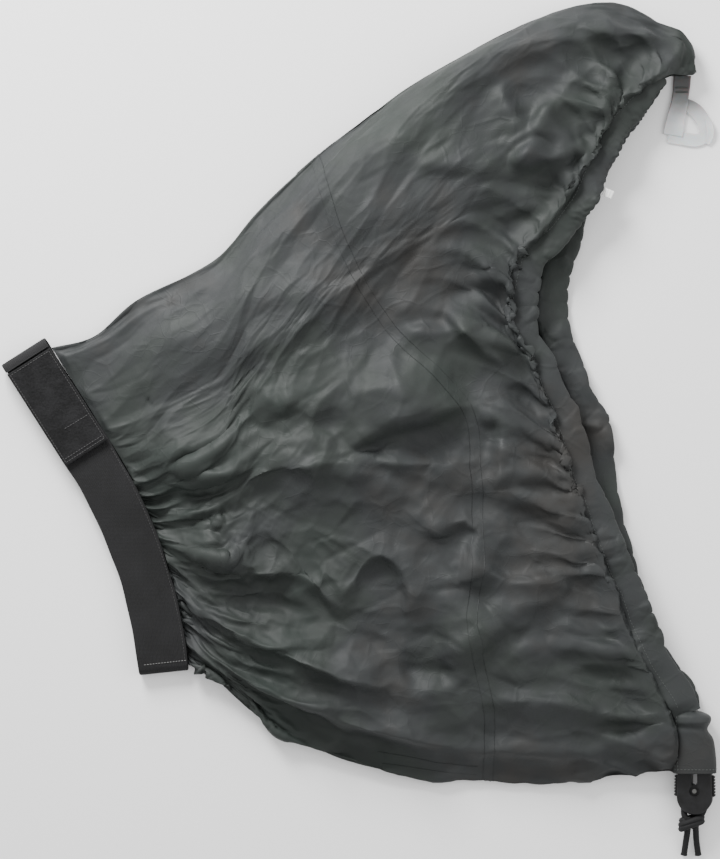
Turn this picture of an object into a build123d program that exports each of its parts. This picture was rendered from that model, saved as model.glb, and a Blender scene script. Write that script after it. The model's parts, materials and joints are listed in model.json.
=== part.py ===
"""Kayak spray skirt of coated nylon, lying on its left side with the waist to -X and the front of the deck to +Y.

The two layers of cloth lie one over the other: the left half flat on the ground, the right half vaulted over it.
Sizes are in millimetres. The origin is the middle of the footprint, on the ground.
"""

import os
from math import cos, pi, radians, sin, tan

import numpy as np
from build123d import *

# Cloth
CLOTH = 2.4  # thickness of the cloth as a solid
GROUND_GAP = 0.2  # least clear height between the layers, at the folds
FOLD_LENGTH = 60.0  # how quickly the upper layer rises away from a fold
VAULT = 42.0  # extra height half way between waist and rim
JOIN_GAP = 0.3  # between two panels, under the seam strip

# Waistband: an elastic strip, straight under its closure, then curved
BAND_WIDTH = 50.0
BAND = 2.2
BAND_START = (-330.0, 48.0)
BAND_HEADING = -57.5
BAND_STRAIGHT = 115.0
BAND_RADIUS = 480.0
BAND_TURN = 26.5
BAND_UPPER_Z = 13.0  # underside of the upper run
BAND_CUT_END = 12.0  # the upper run starts this far in, under the closure tab

# Hook and loop closure, stacked on the upper run of the waistband
PILE = 1.5
HOOK = 1.2
CLOSURE_GAP = 0.3
TAB_LENGTH = 108.0
PATCH_WIDTH = 45.0
PATCH_LENGTH = 88.0

# Hem round the rim, with the shock cord inside it
HEM_WIDTH = 34.0
HEM_HEIGHT = 13.0
HEM_CORNER = 5.0
HEM_BORE = 8.0
HEM_LOWER_Z = HEM_HEIGHT / 2
HEM_UPPER_Z = 27.0
CORD = 6.2

# Cord lock: two D-shaped cheeks with a toothed roller between them
LOCK_CENTRE = (334.0, -381.0, 13.0)
LOCK_TILT = 12.0
LOCK_RADIUS = 17.5
LOCK_DISC_Y = -6.0
LOCK_TOP_Y = 28.0
LOCK_TOP_WIDTH = 33.2
CHEEK = 3.0
CHEEK_GAP = 6.8
LOCK_WALL = 2.0
GRIP = 3.0
STRAND_X = 10.8
KEYHOLE_RADIUS = 5.2
SLOT_WIDTH = 5.4
SLOT_TOP = 19.0
PIN_RADIUS = 2.2
ROLLER_RADIUS = 7.0
ROLLER_TEETH = 12
TOOTH_DEPTH = 1.1

# Sleeve at the rear end of the hem that holds the lock's upper end
SLEEVE_X = (311.5, 355.5)
SLEEVE_Y = (-362.0, -305.0)
SLEEVE_HEIGHT = (27.5, 33.5)
SLEEVE_WALL = 2.2

# Strands, knot and tails of the shock cord below the lock
STRAND_TOP_Y = -339.0
STRAND_BEND_Y = -401.0
KNOT_CENTRE = (331.0, -413.6, 12.6)
KNOT_HALF_LENGTH = 13.5
KNOT_RADIUS = 8.4

# Seams and trims
SEAM_WIDTH = 9.0
SEAM = 0.8
REAR_SEAM_WIDTH = 7.0
WEBBING = 1.6
LOOP_AXIS = (326.0, 328.4)
LABEL = (10.0, 8.0, 0.8)

FRONT_FOLD = [
    (-307, 60), (-264, 72), (-222, 108), (-145, 148), (-92, 207), (2, 288), (94, 348),
    (178, 388), (248, 405), (300, 386), (333, 361), (332, 331),
]
REAR_FOLD = [(-170, -257), (-146, -292), (-90, -332), (33, -371), (120, -375), (176, -377), (240, -372), (305, -366)]
DECK_SEAM = [(-48, 262), (-20, 168), (30, 80), (103, 6), (116, -60), (118, -150), (112, -220), (128, -300), (129, -390)]
REAR_SEAM = [(18, -352), (72, -359), (118, -362)]
UPPER_HEM = [
    (290, 322), (249, 272), (226, 222), (196, 176), (165, 140), (160, 80), (183, 36), (204, -20), (232, -100),
    (264, -178), (284, -232), (301, -262), (317, -284), (325, -303),
]
LOWER_HEM = [
    (290, 322), (249, 272), (226, 222), (207, 180), (193, 130), (195, 80), (208, 36), (234, -20), (243, -90),
    (266, -178), (284, -232), (301, -262), (317, -284), (325, -303),
]
LOOP_OUTLINE = [
    (316.5, 327.6), (316, 309), (313.5, 297), (305, 289), (301, 279), (304, 268), (324, 263.5), (345, 261.5),
    (351, 275), (347, 294), (339, 305), (336, 316), (335.6, 327.6),
]
TAILS = {
    "left": [(327.4, -409.2, 12.6), (327, -420, 11.4), (325.4, -434, 6.2), (324, -447, 3.3)],
    "right": [(334.6, -409.2, 12.6), (335, -420, 11.4), (336.2, -434, 6.2), (338.5, -447, 3.3)],
}


def turn_between(a, b, c):
    """The angle in degrees by which a route turns at b."""
    return (Vector(*b) - Vector(*a)).get_angle(Vector(*c) - Vector(*b))


def corner_radii(points):
    """The largest arcs that fit a route's runs."""
    radii = []
    for a, b, c in zip(points, points[1:], points[2:]):
        run = min((Vector(*b) - Vector(*a)).length, (Vector(*c) - Vector(*b)).length)
        radii.append(0.45 * run / tan(radians(turn_between(a, b, c)) / 2))
    return radii


def route(points):
    """Straight runs joined by tangent arcs."""
    return FilletPolyline(*points, radius=corner_radii(points))


def at_height(points, z):
    return [(x, y, z) for x, y in points]


def swept(profile, path):
    """A profile drawn about its own origin, carried along a path."""
    start = Plane(origin=path @ 0, x_dir=(path % 0).cross(Vector(0, 0, 1)), z_dir=path % 0)
    return sweep(start * profile, path=path)


# ---------------------------------------------------------------- waistband


def band_direction():
    return Vector(cos(radians(BAND_HEADING)), sin(radians(BAND_HEADING)), 0)


def band_across():
    """Across the band, from its free edge to the cloth."""
    return Vector(-sin(radians(BAND_HEADING)), cos(radians(BAND_HEADING)), 0)


def band_path(z, start=0.0, offset=0.0):
    """A line along the band, offset towards the cloth, from start mm along it."""
    first = Vector(*BAND_START, z) + band_across() * offset + band_direction() * start
    corner = Vector(*BAND_START, z) + band_across() * offset + band_direction() * BAND_STRAIGHT
    arc = JernArc(start=corner, tangent=band_direction(), radius=BAND_RADIUS + offset, arc_size=-BAND_TURN)
    return Wire([Edge.make_line(first, corner), arc.edges()[0]])


def band_end_direction():
    heading = radians(BAND_HEADING - BAND_TURN)
    return Vector(cos(heading), sin(heading), 0)


def half_ring(centre, outward, radius_in, radius_out, width):
    """Half of a ring about a level axis, bulging along outward."""
    across = outward.cross(Vector(0, 0, 1))
    plane = Plane(origin=centre, x_dir=outward, z_dir=across)
    ring = Circle(radius_out) - Circle(radius_in)
    half = ring & Pos(radius_out, 0) * Rectangle(2 * radius_out, 3 * radius_out)
    return extrude(plane * half, width / 2, both=True)


def closure_levels():
    """The heights of the pile patch, the hook patch and the tab, from their undersides."""
    pile = BAND_UPPER_Z + BAND
    hook = pile + PILE + CLOSURE_GAP
    return pile, hook, hook + HOOK


def make_waistband():
    strip = Rectangle(BAND_WIDTH, BAND)
    lower = swept(strip, band_path(BAND / 2))
    upper = swept(strip, band_path(BAND_UPPER_Z + BAND / 2, start=BAND_CUT_END))
    tab_top = closure_levels()[2] + BAND
    fold = half_ring(
        Vector(*BAND_START, tab_top / 2), -band_direction(), tab_top / 2 - BAND, tab_top / 2, BAND_WIDTH
    )
    top = BAND_UPPER_Z + BAND
    end = band_path(0) @ 1
    end_fold = half_ring(Vector(end.X, end.Y, top / 2), band_end_direction(), top / 2 - BAND, top / 2, BAND_WIDTH)
    return lower + upper + fold + end_fold


def on_band(start, length, width, z, thickness):
    """A flat strip on the band's straight stretch."""
    centre = Vector(*BAND_START, z + thickness / 2) + band_direction() * (start + length / 2)
    return Plane(origin=centre, x_dir=band_direction()) * Box(length, width, thickness)


# ---------------------------------------------------------------- body of cloth


def sampled(curve, count=60):
    return np.array([tuple(curve.position_at(t))[:2] for t in np.linspace(0, 1, count)])


def distance_to(points, x, y):
    """Distance from (x, y) to a line of points."""
    a, b = points[:-1], points[1:]
    d = b - a
    t = np.clip(((np.array((x, y)) - a) * d).sum(1) / (d * d).sum(1), 0, 1)
    return float(np.linalg.norm(a + t[:, None] * d - (x, y), axis=1).min())


class Layout:
    """The plan of the cloth: its two folds, its waist edge and its two hems."""

    def __init__(self):
        self.front = Spline(*[Vector(*p) for p in FRONT_FOLD])
        self.rear = Spline(*[Vector(*p) for p in REAR_FOLD])
        self.waist = band_path(0, offset=BAND_WIDTH / 2)
        self.seam = Spline(*[Vector(*p) for p in DECK_SEAM])
        self.upper_hem = route(at_height(UPPER_HEM, 0))
        self.lower_hem = route(at_height(LOWER_HEM, 0))
        self.lines = {k: sampled(getattr(self, k)) for k in ("front", "rear", "waist", "upper_hem")}

    def underside(self, x, y):
        """Height of the upper layer's underside over a point of the plan."""
        fold = min(distance_to(self.lines["front"], x, y), distance_to(self.lines["rear"], x, y))
        waist = distance_to(self.lines["waist"], x, y)
        rim = distance_to(self.lines["upper_hem"], x, y)
        along = waist**2 / (waist**2 + rim**2)
        at_waist = BAND_UPPER_Z - CLOTH
        at_rim = HEM_UPPER_Z - 1.5 * CLOTH
        clear = at_waist + (at_rim - at_waist) * along + VAULT * 4 * along * (1 - along)
        return CLOTH + GROUND_GAP + clear * (1 - np.exp(-((fold / FOLD_LENGTH) ** 2)))

    def outline(self, hem):
        """The plan of one layer, from the waist edge to the middle of its hem."""
        rim = hem.edges()
        front_end, rear_end = Vector(*FRONT_FOLD[-1]), Vector(*REAR_FOLD[-1])
        hem_start, hem_end = Vector(*UPPER_HEM[0]), Vector(*UPPER_HEM[-1])
        edges = [
            *self.waist.edges(),
            Edge.make_line(self.waist @ 1, Vector(*REAR_FOLD[0])),
            *self.rear.edges(),
            Edge.make_line(rear_end, hem_end),
            *rim,
            Edge.make_line(hem_start, Vector(306, 331)),
            Edge.make_line(Vector(306, 331), front_end),
            *self.front.edges(),
            Edge.make_line(Vector(*FRONT_FOLD[0]), self.waist @ 0),
        ]
        return make_face(Wire.combine(edges, tol=0.01)[0])


def surface_points(layout, lift, step=24.0):
    xs = np.arange(-345, 375, step)
    ys = np.arange(-405, 430, step)
    return [[Vector(x, y, layout.underside(x, y) + lift) for y in ys] for x in xs]


def upper_layer(layout, lift, thickness):
    """A sheet that follows the upper layer, lift above its underside."""
    face = Face.make_surface_from_array_of_points(surface_points(layout, lift), tol=0.4, min_deg=3, max_deg=3)
    return extrude(face, thickness, dir=(0, 0, 1))


def ribbon_plan(curve, width):
    """A tall blade that stands on a curve."""
    return extrude(trace(curve, line_width=width), 120)


def split_at_seam(layer, blade):
    """The tunnel's part, the deck's part and the seam strip between them."""
    pieces = (layer - blade).solids().sort_by(SortBy.VOLUME)[-2:].sort_by(Axis.X)
    strip = (layer & blade).solids().sort_by(SortBy.VOLUME)[-1]
    return pieces[0], pieces[1], strip


def hem_profile():
    return RectangleRounded(HEM_WIDTH, HEM_HEIGHT, HEM_CORNER) - Circle(HEM_BORE / 2)


def front_turn(profile):
    """The hem's turn from the upper run to the lower run, at its front end."""
    path = route(at_height(UPPER_HEM, HEM_UPPER_Z))
    outward = path % 0
    across = outward.cross(Vector(0, 0, 1))
    start = Plane(origin=path @ 0, x_dir=across, z_dir=outward)
    middle = Vector(UPPER_HEM[0][0], UPPER_HEM[0][1], (HEM_UPPER_Z + HEM_LOWER_Z) / 2)
    return revolve(start * profile, Axis(middle, across), 180)


def make_sleeve():
    """A flat sleeve, open at both ends, that carries on from the ends of the hem."""
    (x0, x1), (y0, y1), (low, high) = SLEEVE_X, SLEEVE_Y, SLEEVE_HEIGHT
    outer = Polygon((y0, 0), (y1, 0), (y1, high), (y0, low), align=None)
    w = SLEEVE_WALL
    inner = Polygon((y0 - 1, w), (y1 + 1, w), (y1 + 1, high - w), (y0 - 1, low - w), align=None)
    side = Plane(origin=(x0, 0, 0), x_dir=(0, 1, 0), z_dir=(1, 0, 0))
    inside = Plane(origin=(x0 + w, 0, 0), x_dir=(0, 1, 0), z_dir=(1, 0, 0))
    return extrude(side * outer, x1 - x0) - extrude(inside * inner, x1 - x0 - 2 * w)


def turn_plan(curve):
    """A tall block over the hem's front turn."""
    outward = -(curve % 0)
    reach = (HEM_UPPER_Z - HEM_LOWER_Z + HEM_HEIGHT) / 2
    plane = Plane(origin=(curve @ 0) + outward * (reach / 2 - 1), x_dir=outward, z_dir=(0, 0, 1))
    return extrude(plane * Rectangle(reach + 2, HEM_WIDTH), 120)


# ---------------------------------------------------------------- cord lock


def tilted(shape):
    """Carries a shape from the lock's own frame to its place."""
    return Pos(*LOCK_CENTRE) * Rot(0, -LOCK_TILT, 0) * shape


def lock_plan(grow=0.0):
    """The D outline of a cheek: a round foot and sides that draw in towards the top."""
    radius = LOCK_RADIUS + grow
    half_top = LOCK_TOP_WIDTH / 2 + grow
    disc = Pos(0, LOCK_DISC_Y) * Circle(radius)
    sides = Polygon(
        (-radius, LOCK_DISC_Y), (radius, LOCK_DISC_Y), (half_top, LOCK_TOP_Y), (-half_top, LOCK_TOP_Y), align=None
    )
    return disc + sides


def keyhole():
    slot_centre = SLOT_TOP / 2
    return Circle(KEYHOLE_RADIUS) + Pos(0, slot_centre) * Rectangle(SLOT_WIDTH, SLOT_TOP)


def make_cheek(side):
    """One face of the lock, side +1 on top and -1 underneath, eased round its outer rim."""
    plate = Pos(0, 0, CHEEK_GAP / 2) * extrude(lock_plan() - keyhole(), CHEEK)
    plate = chamfer(plate.faces().sort_by(Axis.Z)[-1].outer_wire().edges(), 0.8)
    return plate if side > 0 else mirror(plate, Plane.XY)


def side_wall(side):
    """A wall between the cheeks, with its ribbed grip, from the widest point of the foot up to the shoulder."""
    half_top = LOCK_TOP_WIDTH / 2
    foot, top = LOCK_DISC_Y - 3, LOCK_TOP_Y
    foot_x = LOCK_RADIUS - 0.4
    wall = Polygon(
        (foot_x, foot), (LOCK_RADIUS, LOCK_DISC_Y), (half_top, top), (half_top - LOCK_WALL, top),
        (LOCK_RADIUS - LOCK_WALL, LOCK_DISC_Y), (foot_x - LOCK_WALL + 0.4, foot), align=None,
    )
    wall = extrude(wall, CHEEK_GAP / 2, both=True)
    lean = (LOCK_RADIUS - half_top) / (LOCK_TOP_Y - LOCK_DISC_Y)
    for i in range(7):
        y = -4 + 3 * i
        face = LOCK_RADIUS - lean * (y - LOCK_DISC_Y)
        wall += Pos(face + GRIP / 2 - 0.6, y, 0) * Box(GRIP + 1.2, 1.6, CHEEK_GAP - 0.4)
        wall += Pos(face + GRIP / 4, y, 0) * Box(GRIP / 2 + 0.8, 3.2, CHEEK_GAP - 1.6)
    return wall if side > 0 else mirror(wall, Plane.YZ)


def make_roller():
    wheel = Circle(ROLLER_RADIUS)
    for i in range(ROLLER_TEETH):
        angle = 2 * pi * i / ROLLER_TEETH
        notch = Pos(ROLLER_RADIUS * cos(angle), ROLLER_RADIUS * sin(angle)) * Circle(TOOTH_DEPTH)
        wheel -= notch
    wheel -= Circle(PIN_RADIUS + 0.1)
    return extrude(wheel, (CHEEK_GAP - 0.6) / 2, both=True)


def make_axle():
    """The roller's pin, with a low head outside each cheek's slot."""
    half = CHEEK_GAP / 2 + CHEEK
    return extrude(Circle(PIN_RADIUS), half - 0.4, both=True)


# ---------------------------------------------------------------- shock cord


def strand_route(side, to_knot=True):
    """A strand from inside the sleeve, straight through the lock and in to the knot."""
    x = LOCK_CENTRE[0] + side * STRAND_X * cos(radians(LOCK_TILT))
    z = LOCK_CENTRE[2] + side * STRAND_X * sin(radians(LOCK_TILT))
    inner = KNOT_CENTRE[0] + side * 8.5
    into_knot = (z + KNOT_CENTRE[2]) / 2
    return [(x, STRAND_TOP_Y, z), (x, STRAND_BEND_Y, z), (inner, KNOT_CENTRE[1] + 6.0, into_knot)]


def make_rim_cord(cord, upper_route, lower_route):
    """The cord in the rim, whose two ends turn down into the sleeve above the strands."""
    ends = []
    for side, z in ((1, HEM_UPPER_Z), (-1, HEM_LOWER_Z)):
        top = strand_route(side)[0]
        hem_end = (*UPPER_HEM[-1], z)
        leaving = (hem_end[0] + 1.7, hem_end[1] - 4.0, z)
        points = [hem_end, leaving, (top[0], top[1] + 9, top[2]), (top[0], top[1] + 0.6, top[2])]
        ends.append(swept(cord, route(points)))
    return ends[0] + swept(cord, upper_route) + front_turn(cord) + swept(cord, lower_route) + ends[1]


def make_knot():
    """The knot as a barrel that lies across the strands."""
    barrel = Rot(0, 90, 0) * Cylinder(KNOT_RADIUS, 2 * KNOT_HALF_LENGTH)
    return Pos(*KNOT_CENTRE) * fillet(barrel.edges().filter_by(GeomType.CIRCLE), KNOT_RADIUS * 0.7)


# ---------------------------------------------------------------- grab loop


def make_grab_loop():
    """Flat webbing whose root is rounded about the line it folds on, closing in an eye."""
    line = Spline(*[Vector(*p) for p in LOOP_OUTLINE])
    outline = make_face(Wire([*line.edges(), Edge.make_line(line @ 1, line @ 0)]))
    hole = Pos(328, 283) * RectangleRounded(9, 24, 4)
    root_width = (line @ 1).X - (line @ 0).X - 0.4
    middle = ((line @ 1).X + (line @ 0).X) / 2
    root = Plane(origin=(middle, LOOP_AXIS[1] - 0.8, WEBBING / 2), x_dir=(0, 1, 0), z_dir=(1, 0, 0))
    barrel = extrude(root * Circle(WEBBING / 2), root_width / 2, both=True)
    return extrude(outline - hole, WEBBING) + barrel


def make_loop_stitching():
    """Two bars of dense stitching across the webbing near its root."""
    bars = [Pos(LOOP_AXIS[0] + 0.4, y, WEBBING + 0.3) * Box(13, 1.6, 0.6) for y in (320.0, 315.5)]
    joiner = Pos(LOOP_AXIS[0] + 0.4, 317.75, WEBBING + 0.2) * Box(1.2, 4.0, 0.4)
    return bars[0] + bars[1] + joiner


def make_label():
    """A small tag sewn into the lower edge of the upper hem."""
    return Pos(245.6, 213.0, HEM_UPPER_Z) * Rot(0, 0, -24) * Box(*LABEL)


def write(shapes):
    os.makedirs("parts", exist_ok=True)
    for name, shape in shapes.items():
        export_step(shape, f"parts/{name}.step")


def waist_pieces():
    pile, hook, tab = closure_levels()
    hinge_gap = 2.0
    start = hinge_gap
    strip = on_band(start, TAB_LENGTH, BAND_WIDTH, tab, BAND)
    centre = Vector(*BAND_START, tab + BAND / 2) + band_direction() * start
    barrel_plane = Plane(origin=centre, x_dir=band_direction(), z_dir=band_across())
    barrel = extrude(barrel_plane * Circle(BAND / 2), BAND_WIDTH / 2, both=True)
    return {
        "waistband_elastic": make_waistband(),
        "waist_pile_patch": on_band(BAND_CUT_END + 2, PATCH_LENGTH, PATCH_WIDTH, pile, PILE),
        "closure_tab": strip + barrel,
        "closure_hook_patch": on_band(BAND_CUT_END + 4, PATCH_LENGTH - 4, PATCH_WIDTH, hook, HOOK),
    }


def cloth_pieces(layout):
    solid_hem = RectangleRounded(HEM_WIDTH, HEM_HEIGHT, HEM_CORNER)
    upper_hem = swept(solid_hem, route(at_height(UPPER_HEM, HEM_UPPER_Z)))
    lower_hem = swept(solid_hem, route(at_height(LOWER_HEM, HEM_LOWER_Z)))
    hems = upper_hem + front_turn(solid_hem) + lower_hem
    (x0, x1), (y0, y1) = SLEEVE_X, SLEEVE_Y
    sleeve = Pos((x0 + x1) / 2, (y0 + y1) / 2) * Box(x1 - x0, y1 - y0, 120)
    blade = ribbon_plan(layout.seam, SEAM_WIDTH)
    upper = (upper_layer(layout, 0, CLOTH) & extrude(layout.outline(layout.upper_hem), 120)) - hems - sleeve
    lower = extrude(layout.outline(layout.lower_hem), CLOTH) - ribbon_plan(layout.lower_hem, HEM_WIDTH) - sleeve
    lower -= turn_plan(layout.lower_hem)
    shapes = {"hem_exit_sleeve": make_sleeve() - hems}
    rear_blade = ribbon_plan(Spline(*[Vector(*p) for p in REAR_SEAM]), REAR_SEAM_WIDTH)
    shapes["tunnel_rear_seam"] = upper_layer(layout, CLOTH, SEAM) & rear_blade
    for side, layer in (("right", upper), ("left", lower)):
        tunnel, deck, strip = split_at_seam(layer, blade)
        shapes |= {f"tunnel_{side}": tunnel, f"deck_{side}": deck, f"deck_tunnel_seam_{side}": strip}
    return shapes


def rim_pieces():
    hem, cord = hem_profile(), Circle(CORD / 2)
    upper_route = route(at_height(UPPER_HEM, HEM_UPPER_Z))
    lower_route = route(at_height(LOWER_HEM, HEM_LOWER_Z))
    return {
        "rim_hem_right": swept(hem, upper_route),
        "rim_hem_left": swept(hem, lower_route),
        "rim_hem_front_turn": front_turn(hem),
        "rim_bungee": make_rim_cord(cord, upper_route, lower_route),
        "care_label": make_label(),
    }


def lock_pieces():
    return {
        "lock_top_cheek": tilted(make_cheek(1)),
        "lock_bottom_cheek": tilted(make_cheek(-1)),
        "lock_grip_right": tilted(side_wall(1)),
        "lock_grip_left": tilted(side_wall(-1)),
        "lock_roller": tilted(make_roller()),
        "lock_roller_pin": tilted(make_axle()),
    }


def cord_pieces():
    cord = Circle(CORD / 2)
    strands = {f"pull_strand_{n}": swept(cord, route(strand_route(s))) for n, s in (("left", -1), ("right", 1))}
    tails = {f"bungee_tail_{n}": swept(cord, route(points)) for n, points in TAILS.items()}
    knot = make_knot()
    for piece in (*strands.values(), *tails.values()):
        knot -= piece
    return strands | tails | {"bungee_knot": knot}


def loop_pieces():
    return {"grab_loop": make_grab_loop(), "grab_loop_stitching": make_loop_stitching()}


def main():
    shapes = waist_pieces() | cloth_pieces(Layout()) | rim_pieces() | lock_pieces() | cord_pieces() | loop_pieces()
    write(shapes)


if __name__ == "__main__":
    main()
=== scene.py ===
import json
from math import cos, pi, radians, sin

import bpy
import numpy as np
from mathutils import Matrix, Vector

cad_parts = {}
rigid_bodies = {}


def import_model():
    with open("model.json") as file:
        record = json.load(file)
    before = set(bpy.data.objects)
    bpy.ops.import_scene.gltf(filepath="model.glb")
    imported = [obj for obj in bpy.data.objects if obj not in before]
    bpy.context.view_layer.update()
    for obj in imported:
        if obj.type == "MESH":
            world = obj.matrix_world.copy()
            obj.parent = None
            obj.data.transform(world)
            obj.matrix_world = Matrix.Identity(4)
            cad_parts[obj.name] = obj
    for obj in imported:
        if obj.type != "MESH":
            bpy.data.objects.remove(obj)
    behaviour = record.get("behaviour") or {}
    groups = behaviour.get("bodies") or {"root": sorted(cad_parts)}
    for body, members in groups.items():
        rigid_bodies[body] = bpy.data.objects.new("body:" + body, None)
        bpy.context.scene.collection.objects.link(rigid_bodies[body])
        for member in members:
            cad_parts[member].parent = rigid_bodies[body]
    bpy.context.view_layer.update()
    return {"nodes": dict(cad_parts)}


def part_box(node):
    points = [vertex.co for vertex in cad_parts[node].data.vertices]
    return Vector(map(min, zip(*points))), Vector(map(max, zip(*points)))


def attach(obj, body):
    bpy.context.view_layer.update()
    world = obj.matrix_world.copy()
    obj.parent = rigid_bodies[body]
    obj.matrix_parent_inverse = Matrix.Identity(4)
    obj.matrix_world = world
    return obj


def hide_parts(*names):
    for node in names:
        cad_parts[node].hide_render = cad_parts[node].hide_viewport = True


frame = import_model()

MM = 0.001
UP = np.array([0, 0, 1.0])

# The plan of the cloth body, from its CAD outline: two folds, the waist edge and the two rims
FRONT_FOLD = [
    (-307, 60), (-264, 72), (-222, 108), (-145, 148), (-92, 207), (2, 288), (94, 348), (178, 388), (248, 405),
    (300, 386), (333, 361), (332, 331),
]
REAR_FOLD = [
    (-170, -257), (-146, -292), (-90, -332), (33, -371), (120, -375), (176, -377), (240, -372), (313, -363),
]
DECK_SEAM = [
    (-48, 262), (-20, 168), (30, 80), (103, 6), (116, -60), (118, -150), (112, -220), (128, -300), (129, -390),
]
REAR_SEAM = [(18, -352), (72, -359), (118, -362)]
UPPER_HEM = [
    (290, 322), (249, 272), (226, 222), (196, 176), (165, 140), (160, 80), (183, 36), (204, -20), (232, -100),
    (264, -178), (284, -232), (301, -262), (317, -284), (325, -303),
]
LOWER_HEM = [
    (290, 322), (249, 272), (226, 222), (207, 180), (193, 130), (195, 80), (208, 36), (234, -20), (243, -90),
    (266, -178), (284, -232), (301, -262), (317, -284), (325, -303),
]
HEM_UPPER_Z, HEM_LOWER_Z = 27.0, 6.5
CORD_RADIUS = 3.1
RIM_OFFSET = 7.0  # from the middle of the hem to the edge of the cloth inside it
TIP, TIP_EDGE, SLEEVE_EDGE = (332, 331), [(319, 330.0), (304, 328.1)], [(318, -320), (317, -363)]
RIM_UP, RIM_RISE = 18.0, 11.5  # height of the upper layer's rim at its ends, and its rise between them

# Folds of the upper layer: (height, width, steep side, points). The steep side is +1 left of the line, -1 right
FOLDS = [
    (10, 30, 0, [(-237, -38), (-180, -30), (-107, -30), (-17, -44)]),
    (15, 26, -1, [(-235, -52), (-180, -62), (-110, -66), (-30, -56), (20, -52)]),
    (18, 34, -1, [(-12, -46), (14, -26), (50, -10), (113, 4)]),
    (17, 34, 1, [(-160, -92), (-120, -78), (-55, -66), (13, -56), (83, -54), (136, -48)]),
    (15, 26, 1, [(-23, -203), (-53, -170), (-100, -164), (-140, -152), (-175, -135)]),
    (12, 20, 1, [(44, -215), (52, -177), (36, -147), (12, -150), (-23, -203)]),
    (17, 30, 1, [(35, -282), (-17, -266), (-63, -247), (-110, -228), (-160, -205)]),
    (14, 20, 1, [(90, -335), (17, -324), (-37, -301), (-63, -290), (-140, -262), (-172, -222)]),
    (15, 16, 0, [(76, -246), (100, -236), (130, -212), (160, -196), (200, -190)]),
    (-11, 16, 0, [(40, -262), (72, -258), (96, -266)]),
    (14, 22, 1, [(137, -90), (138, -50), (140, -10), (112, -12)]),
    (12, 20, 0, [(150, -60), (200, -90), (226, -110)]),
    (12, 18, -1, [(60, -130), (100, -110), (118, -122), (104, -187)]),
    (12, 16, 1, [(110, -150), (150, -170), (215, -160)]),
    (-8, 12, 0, [(-110, -190), (-40, -212), (40, -240)]),
    (8, 22, -1, [(66, 254), (68, 240), (149, 237)]),
    (13, 16, 1, [(137, 322), (152, 290), (170, 262)]),
    (15, 14, -1, [(194, 312), (180, 285), (170, 258), (150, 240)]),
    (12, 18, -1, [(150, 240), (180, 246), (214, 250)]),
    (15, 16, 1, [(262, 352), (254, 315), (258, 280)]),
    (-12, 12, 0, [(276, 356), (268, 330), (272, 304)]),
    (16, 30, -1, [(88, 98), (105, 72), (128, 54), (152, 42)]),
    (12, 26, 0, [(118, 128), (150, 140), (176, 120)]),
    (9, 24, 1, [(42, 74), (80, 76), (119, 71)]),
    (8, 34, 0, [(-40, 166), (20, 190), (100, 212), (155, 222)]),
    (7, 30, 0, [(-80, 100), (20, 146), (80, 166), (134, 194)]),
    (8, 36, 0, [(-60, 190), (20, 232), (86, 296), (137, 312)]),
    (8, 34, 0, [(-250, 40), (-180, 60), (-80, 60), (20, 20), (90, -4)]),
    (6, 30, 0, [(-215, 90), (-120, 110), (-20, 110), (60, 90)]),
    (8, 26, 0, [(-120, 10), (-20, 10), (60, 30), (90, 60)]),
    (9, 24, 1, [(60, 320), (130, 352), (220, 372)]),
    (9, 16, 0, [(200, 330), (230, 300), (245, 282)]),
    (8, 14, 0, [(215, 372), (262, 378), (300, 366)]),
    (10, 14, -1, [(20, -330), (90, -342), (180, -346), (290, -344)]),
    (10, 18, 1, [(130, -292), (180, -290), (236, -294)]),
    (9, 14, 0, [(150, -240), (200, -236), (262, -246)]),
]
STEEP_WIDTH = 6.5  # width of a fold's steep side
LEAN = 0.12  # how far a fold's crest leans over its steep side, as a share of its height

# The cloth as a ring of columns round the two layers, and rows from the waist to the rim
COLUMNS = 170  # in one layer
ROWS = 130
SIM_FRAMES = 12
SIM_SCALE = 0.01  # the simulation runs at ten times real size
WAIST_FULLNESS = 1.8  # gathered length to band length
WAIST_OFFSET = 23.0  # from the middle of the band to the sewn edge of the cloth
UNGATHERED = 115.0  # the stretch of waist beside the closure tab, which has no gathers
LOWEST, HIGHEST = 0.6, 73.0  # limits of the finished cloth


# -------- numbers and lines


def smooth(x):
    x = np.clip(x, 0, 1)
    return x * x * (3 - 2 * x)


def bell(x, width):
    return np.exp(-((x / width) ** 2))


def run_length(points):
    return float(np.linalg.norm(np.diff(points, axis=0), axis=1).sum())


def distances(points):
    """How far along a line each of its points is."""
    return np.r_[0, np.cumsum(np.linalg.norm(np.diff(points, axis=0), axis=1))]


def resample(points, count):
    """Points evenly spaced along a line."""
    points = np.asarray(points, float)
    s = distances(points)
    at = np.linspace(0, s[-1], count)
    return np.stack([np.interp(at, s, points[:, k]) for k in range(points.shape[1])], 1)


def curve(points, count):
    """A smooth line through points."""
    p = np.array(points, float)
    q = np.vstack([2 * p[0] - p[1], p, 2 * p[-1] - p[-2]])
    t = np.linspace(0, 1, 24, endpoint=False)[:, None]
    runs = [
        0.5 * (2 * b + (c - a) * t + (2 * a - 5 * b + 4 * c - d) * t**2 + (3 * b - a - 3 * c + d) * t**3)
        for a, b, c, d in zip(q, q[1:], q[2:], q[3:])
    ]
    return resample(np.vstack([*runs, p[-1:]]), count)


def soft_floor(x, least, sharp=1.5):
    """x, eased so that it stays above least."""
    return least + np.log1p(np.exp(np.clip(sharp * (x - least), -30, 30))) / sharp


def unit(v):
    return v / np.maximum(np.linalg.norm(v, axis=-1, keepdims=True), 1e-9)


def tangents(line):
    return unit(np.gradient(line, axis=0))


def left_of(direction):
    """The direction in plan to the left of each direction."""
    return np.stack([-direction[..., 1], direction[..., 0]], -1)


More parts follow.
